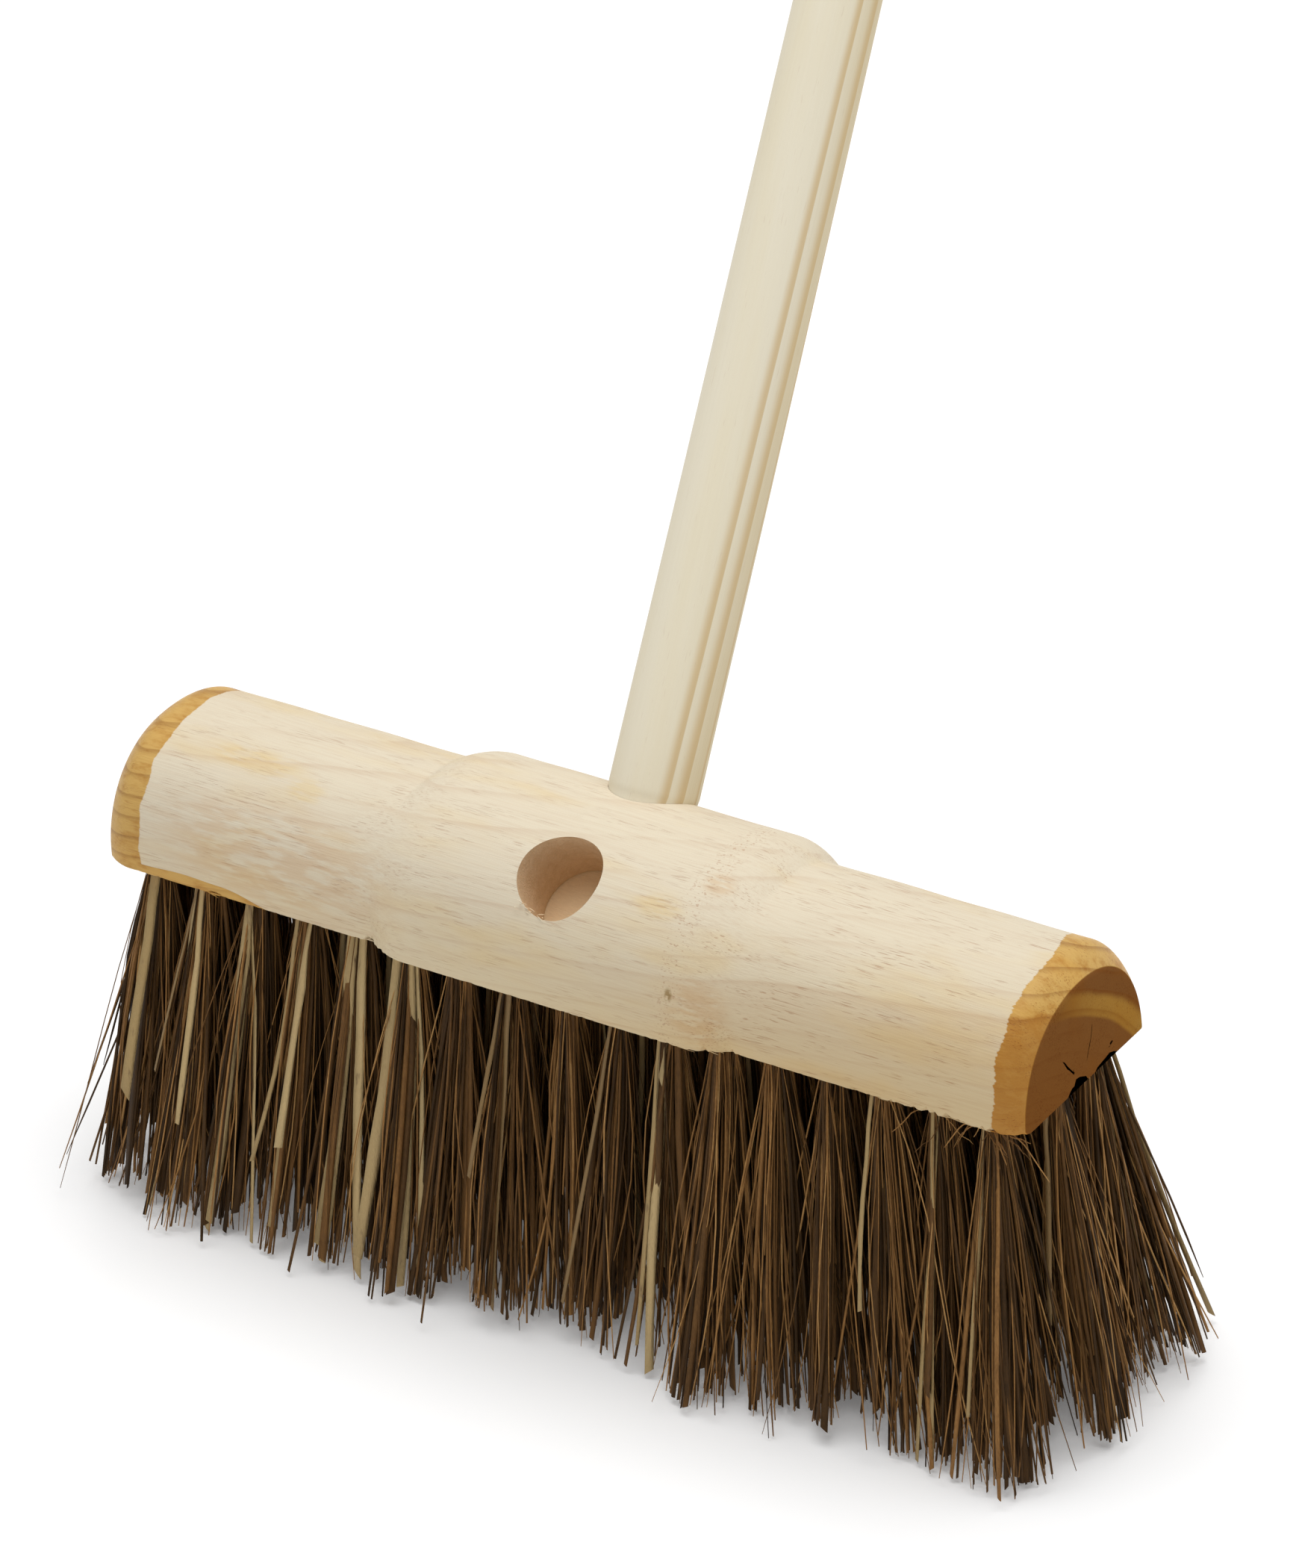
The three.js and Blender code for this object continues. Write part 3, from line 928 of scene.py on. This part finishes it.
def node_roots(node):
    """The tufts of one CAD node: one, or the two that face each other in the middle rows."""
    points = cad_points(node)
    tips = points[points[:, 2] < 1 * MM]
    low, high = tips[:, 1].min(), tips[:, 1].max()
    if not node.startswith("middle"):
        return [tuft_root(points, low, high)]
    overlap = 2 * MM
    near = points[points[:, 1] < 0]
    far = points[points[:, 1] > 0]
    return [tuft_root(near, low, overlap), tuft_root(far, -overlap, high)]


def tuft_clumps(root, rng):
    """Where a tuft's clumps of fibres sit in its round root, and how high each is cut."""
    x = root["mouth"][0]
    side = int(np.sign(x))
    splay = side * max(0, abs(x) - SPLAY_START) * SPLAY.get(side, 0)
    count = rng.integers(9, 14)
    angle = rng.uniform(0, 2 * math.pi, count)
    reach = np.sqrt(rng.uniform(0, 1, count))
    levels = rng.exponential(4.0 * MM, count)
    return {
        "centres": np.column_stack([np.cos(angle), np.sin(angle)]) * reach[:, None],
        "levels": np.minimum(levels - levels.min(), 12 * MM) + rng.uniform(0, 1.6) * MM,
        "lean": rng.normal(0, 1, 2) * (4.2 * MM, 2.4 * MM) + (splay, 0),
        "spread": rng.uniform(0.9, 1.25),
    }


def tip_points(root, clumps, disc, kind, rng):
    """Where fibres end on the floor, from their places in the round root."""
    count = len(disc)
    middle = (root["low"] + root["high"]) / 2
    half = (root["high"] - root["low"]) / 2
    reach = np.linalg.norm(disc, axis=1)[:, None]
    square = disc * np.sqrt(2) * np.maximum(0.72, 1 - 0.25 * reach)
    tips = middle + clumps["lean"] + half * square * clumps["spread"]
    tips += rng.normal(0, 1.0 * MM, (count, 2))
    loose = rng.uniform(size=count) < kind["loose"]
    tips += loose[:, None] * rng.normal(0, 1, (count, 2)) * (11 * MM, 6 * MM)
    limit = HALF_SPAN + kind["reach"] * MM * rng.uniform(0.4, 1, count)
    tips[:, 0] = np.clip(tips[:, 0], -limit, limit)
    return tips


def fibre_paths(root, clumps, count, kind, rng):
    """Centre lines of fibres from inside the hole to the floor, as (fibre, step, xyz)."""
    clump = rng.integers(0, len(clumps["centres"]), count)
    disc = clumps["centres"][clump] + rng.normal(0, 0.17, (count, 2))
    disc /= np.maximum(1, np.linalg.norm(disc, axis=1))[:, None]
    start = root["mouth"] + disc * (HOLE_RADIUS - 0.9 * MM)
    tips = tip_points(root, clumps, disc, kind, rng)
    height = clumps["levels"][clump] + abs(rng.normal(0, 1.1 * MM, count)) + 0.5 * MM
    cut_short = rng.uniform(size=count) < kind["short"]
    height += cut_short * rng.uniform(8, 55, count) * MM
    tips = start + (tips - start) * (1 - height / UNDERSIDE)[:, None]
    share = np.linspace(0, 1, FIBRE_STEPS)
    flat = start[:, None] + (tips - start)[:, None] * (share**1.1)[:, None]
    arch = np.sin(share * math.pi)[:, None]
    wave = np.sin(share * 2 * math.pi + 0.4)[:, None] - math.sin(0.4)
    flat += rng.normal(0, kind["bow"] * MM, (count, 1, 2)) * arch
    flat += rng.normal(0, kind["bow"] * 0.25 * MM, (count, 1, 2)) * wave
    z = UNDERSIDE + (height - UNDERSIDE)[:, None] * share
    path = np.concatenate([flat, z[..., None]], axis=-1)
    rise = root["depth"] - 1 * MM
    inside = np.column_stack([start + root["slant"] * rise, np.full(count, UNDERSIDE + rise)])
    return np.concatenate([inside[:, None], path], axis=1)


def strand_mesh(paths, widths, kind, rng):
    """Closed strands round their centre lines: points, faces and each point's tone."""
    count, steps, _ = paths.shape
    heading = paths[:, -1] - paths[:, 0]
    heading /= np.linalg.norm(heading, axis=1)[:, None]
    swing = math.pi if kind["flat"] > 0.4 else 0.5
    turn = rng.uniform(-swing, swing, count)
    side = np.column_stack([np.cos(turn), np.sin(turn), np.zeros(count)])
    side -= heading * (side * heading).sum(axis=1)[:, None]
    side /= np.linalg.norm(side, axis=1)[:, None]
    front = np.cross(heading, side)
    around = np.arange(FIBRE_SIDES) * 2 * math.pi / FIBRE_SIDES
    taper = np.interp(np.linspace(0, 1, steps), [0, 0.14, 0.5, 0.9, 1], [0.7, 0.8, 1, 1, kind["tip"]])
    wobble = 1 + 0.12 * rng.normal(0, 1, (count, steps)) * (kind["flat"] < 0.4)
    profile = widths[:, None] / 2 * taper * wobble
    across = profile[..., None] * np.cos(around)
    thick = profile[..., None] * kind["flat"] * np.sin(around)
    points = paths[:, :, None] + across[..., None] * side[:, None, None]
    points += thick[..., None] * front[:, None, None]
    slope = rng.uniform(-1.1, 1.1, count)[:, None]
    points[:, -1] += (across[:, -1] * slope)[..., None] * heading[:, None]
    points[..., 2] = np.maximum(points[..., 2], TIP_CLEARANCE)
    per_fibre = steps * FIBRE_SIDES
    faces = []
    for fibre in range(count):
        faces += tube_faces(steps, FIBRE_SIDES, fibre * per_fibre)
    tone = rng.beta(*kind["tone"], count)
    return points.reshape(-1, 3), faces, np.repeat(tone, per_fibre)


def strand_widths(count, kind, rng):
    return kind["width"] * MM * np.exp(rng.normal(0, kind["vary"], count))


def strands(root, clumps, count, kind, rng):
    paths = fibre_paths(root, clumps, count, kind, rng)
    return strand_mesh(paths, strand_widths(count, kind, rng), kind, rng)


def pale_strands(root, clumps, count, rng):
    """Flat strips split from the leaf stalk, which gather on the outer face of the tuft."""
    kind = PALE if root["mouth"][0] < PALE_END else DULL
    paths = fibre_paths(root, clumps, count, kind, rng)
    outward = np.sign(root["mouth"][1])
    share = np.linspace(0, 1, paths.shape[1])
    edge = root["low"][1] if outward < 0 else root["high"][1]
    paths[:, :, 1] += (edge - outward * 1.5 * MM - paths[:, -1:, 1]) * share
    paths[:, 1:3, 1] += outward * 1.2 * MM
    widths = np.clip(strand_widths(count, kind, rng), *STRIP_WIDTHS)
    return strand_mesh(paths, widths, kind, rng)


def end_strays(root, clumps, count, rng):
    """Long thin fibres that lean out past an end of the broom."""
    paths = fibre_paths(root, clumps, count, STRAY, rng)
    side = int(np.sign(root["mouth"][0]))
    reach = side * (HALF_SPAN + rng.uniform(*STRAY_REACH[side], count) * MM)
    share = np.linspace(0, 1, paths.shape[1]) ** 1.2
    paths[:, :, 0] += (reach - paths[:, -1, 0])[:, None] * share
    root_end = paths[:, 1:2].copy()
    paths[:, 1:] = root_end + (paths[:, 1:] - root_end) * rng.uniform(0.72, 1, (count, 1, 1))
    return strand_mesh(paths, strand_widths(count, STRAY, rng), STRAY, rng)


def loose_curls(root, count, rng):
    """Thin curled fibres that stand out of the root of a tuft, just below the stock."""
    share = np.linspace(0, 1, CURL_STEPS)[None]
    angle = rng.uniform(math.pi * 1.05, math.pi * 1.95, count)[:, None]
    length = rng.uniform(6, 18, count)[:, None] * MM
    turn = angle + share * rng.normal(0, 1.9, count)[:, None]
    step = length / (CURL_STEPS - 1)
    x = root["mouth"][0] + np.cumsum(np.cos(turn), axis=1) * step
    y = root["mouth"][1] - 2 * MM + np.cumsum(np.sin(turn), axis=1) * step * 0.6
    drop = share ** rng.uniform(0.8, 2.0, count)[:, None] * length * rng.uniform(0.4, 1.1, (count, 1))
    ripple = np.sin(share * rng.uniform(4, 9, (count, 1))) * 0.9 * MM
    z = UNDERSIDE - 0.6 * MM - drop - abs(ripple)
    paths = np.stack([x, y, z], axis=-1)
    return strand_mesh(paths, rng.uniform(0.28, 0.5, count) * MM, CURL, rng)


def make_tuft(node, roots, materials, plan, rng):
    """The fibres and pale strips that stand for one CAD tuft node."""
    batches = []
    for root in roots:
        clumps = tuft_clumps(root, rng)
        for kind, share in FIBRE_MIX:
            count = round(plan["fibres"] * share)
            batches.append((0, strands(root, clumps, count, kind, rng)))
        if plan["pale"]:
            batches.append((1, pale_strands(root, clumps, plan["pale"], rng)))
        if plan["strays"]:
            batches.append((0, end_strays(root, clumps, plan["strays"], rng)))
        if plan["curls"]:
            batches.append((0, loose_curls(root, plan["curls"], rng)))
    faces, kinds = [], []
    total = 0
    for kind, (some_points, some_faces, _) in batches:
        faces += [[total + index for index in face] for face in some_faces]
        kinds += [kind] * len(some_faces)
        total += len(some_points)
    points, tones = (np.concatenate([batch[part] for _, batch in batches]) for part in (0, 2))
    mesh = bpy.data.meshes.new(node)
    mesh.from_pydata(points.tolist(), [], faces)
    mesh.attributes.new("tone", "FLOAT", "POINT").data.foreach_set("value", tones)
    for material in materials:
        mesh.materials.append(material)
    mesh.polygons.foreach_set("material_index", np.array(kinds, dtype=np.int32))
    mesh.shade_smooth()
    return placed(node + "_fibres", mesh)


def tuft_plan(node, roots, rng):
    """How many strands of each sort a node gets; pale strips are commoner towards -X."""
    middle = roots[0]["mouth"][0]
    at_end = abs(middle) > HALF_LENGTH - 18 * MM
    outer = not node.startswith("middle")
    pale = 1
    if outer and not at_end:
        pale = rng.integers(2, 5) if middle < PALE_END else rng.integers(0, 3)
    fibres = OUTER_FIBRES if outer else MIDDLE_FIBRES
    return {
        "fibres": round(fibres * (1.3 if at_end else 1)),
        "pale": int(pale),
        "strays": 3 if at_end else 0,
        "curls": {"near_tuft_17": 20, "near_tuft_16": 4}.get(node, 0),
    }


def fibre_material():
    shader = Shader("palm_fibre")
    place = shader.place()
    tone = shader.attribute("tone")
    streak = shader.noise(place, (0.4, 0.4, 26))
    blotch = shader.noise(place, (3, 3, 25), detail=2)
    tone = shader.plus(tone, shader.scaled(streak, 0.40, -0.20))
    tone = shader.plus(tone, shader.scaled(blotch, 0.36, -0.18), clamp=True)
    stops = (
        (0.0, (0.035, 0.018, 0.006)),
        (0.35, (0.092, 0.045, 0.014)),
        (0.62, (0.190, 0.092, 0.028)),
        (0.85, (0.350, 0.175, 0.055)),
        (1.0, (0.52, 0.30, 0.11)),
    )
    shader.set(Base_Color=shader.ramp(tone, stops), Specular_IOR_Level=0.12)
    shader.set(Roughness=shader.scaled(streak, 0.3, 0.42))
    shader.bump(streak, 0.00014)
    return shader.material


def strip_material():
    shader = Shader("pale_strip")
    place = shader.place()
    tone = shader.attribute("tone")
    streak = shader.noise(place, (0.35, 0.35, 45), detail=4)
    blotch = shader.noise(place, (2.5, 2.5, 22))
    colour = shader.mix(shader.step(tone, 0.0, 0.5), (0.62, 0.455, 0.215), (0.44, 0.305, 0.125))
    colour = shader.mix(shader.step(tone, 0.45, 0.9), colour, (0.24, 0.145, 0.052))
    colour = shader.mix(shader.times(streak, 0.45), colour, (0.30, 0.19, 0.08))
    colour = shader.mix(shader.step(blotch, 0.60, 0.80), colour, (0.16, 0.095, 0.04))
    shader.set(Base_Color=colour, Roughness=0.55, Specular_IOR_Level=0.3)
    shader.bump(streak, 0.0003)
    return shader.material


# ---- Stage, lights and camera ----

CAMERA_AIM = Vector((-0.003, 0.027, 0.155))
CAMERA_DISTANCE = 2.755
CAMERA_AZIMUTH = math.radians(36.16)
CAMERA_ELEVATION = math.radians(31.59)
CAMERA_ROLL = math.radians(4.755)
CAMERA_LENS = 211.13


def make_camera():
    """Aims along +Y turned towards -X, downwards, with the horizon slightly tipped."""
    data = bpy.data.cameras.new("camera")
    data.lens = CAMERA_LENS
    data.clip_end = 50
    turn = Matrix.Rotation(CAMERA_AZIMUTH, 4, "Z")
    turn @= Matrix.Rotation(math.pi / 2 - CAMERA_ELEVATION, 4, "X")
    turn @= Matrix.Rotation(-CAMERA_ROLL, 4, "Z")
    back = Matrix.Translation((0, 0, CAMERA_DISTANCE))
    camera = placed("camera", data, Matrix.Translation(CAMERA_AIM) @ turn @ back)
    bpy.context.scene.camera = camera


FLOOR_HALF = 12
FLOOR_GLOW = 0.12  # keeps the far floor as pale as the near one
WORLD_STRENGTH = 0.42
KEY_PLACE = Vector((0.1, 0.3, 3.1))
KEY_AIM = Vector((0, 0, 0.2))
KEY_SIZE = 2.6
KEY_POWER = 81


def floor_material():
    shader = Shader("pale_floor")
    mottle = shader.noise(shader.place(), (400, 400, 400), detail=2)
    colour = shader.mix(mottle, (0.93, 0.93, 0.93), (0.95, 0.95, 0.95))
    shader.set(Base_Color=colour, Roughness=0.9)
    shader.set(Emission_Color=(1, 1, 1), Emission_Strength=FLOOR_GLOW, Specular_IOR_Level=0.1)
    return shader.material


def make_floor():
    corners = np.array([(-1, -1, 0), (1, -1, 0), (1, 1, 0), (-1, 1, 0)]) * FLOOR_HALF
    floor = placed("floor", closed_mesh("floor", corners, [[0, 1, 2, 3]]))
    floor.data.materials.append(floor_material())


def make_lights():
    """One wide soft light above the broom, and an even white surround."""
    key = bpy.data.lights.new("key", "AREA")
    key.size = KEY_SIZE
    key.energy = KEY_POWER
    turn = (KEY_AIM - KEY_PLACE).to_track_quat("-Z", "Y").to_matrix().to_4x4()
    placed("key", key, Matrix.Translation(KEY_PLACE) @ turn)
    world = bpy.data.worlds.new("studio")
    bpy.context.scene.world = world
    world.use_nodes = True
    background = world.node_tree.nodes["Background"]
    background.inputs["Color"].default_value = (1, 1, 1, 1)
    background.inputs["Strength"].default_value = WORLD_STRENGTH


# ---- Assembly ----


def attach(piece, node):
    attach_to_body(piece, "root")
    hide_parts(node)


def build():
    nodes = sorted(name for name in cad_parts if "tuft" in name)
    roots = {node: node_roots(node) for node in nodes}
    every_root = [root for some in roots.values() for root in some]
    planed = stock_material("stock_pine", 0.1)
    end_grain = stock_material("stock_end_grain", 0.0)
    stock = make_stock(every_root, (planed, drilled_material(), end_grain))
    attach(stock, "stock")
    attach(make_handle(handle_material()), "handle")
    nail = placed("clout_nail", nail_mesh(0))
    nail.data.materials.append(nail_material())
    attach(nail, "handle_nail")
    materials = (fibre_material(), strip_material())
    for index, node in enumerate(nodes):
        rng = np.random.default_rng(FIRST_TUFT_SEED + index)
        plan = tuft_plan(node, roots[node], rng)
        tuft = make_tuft(node, roots[node], materials, plan, rng)
        attach(tuft, node)


make_camera()
make_floor()
make_lights()
build()
bpy.context.scene.view_settings.view_transform = "Standard"
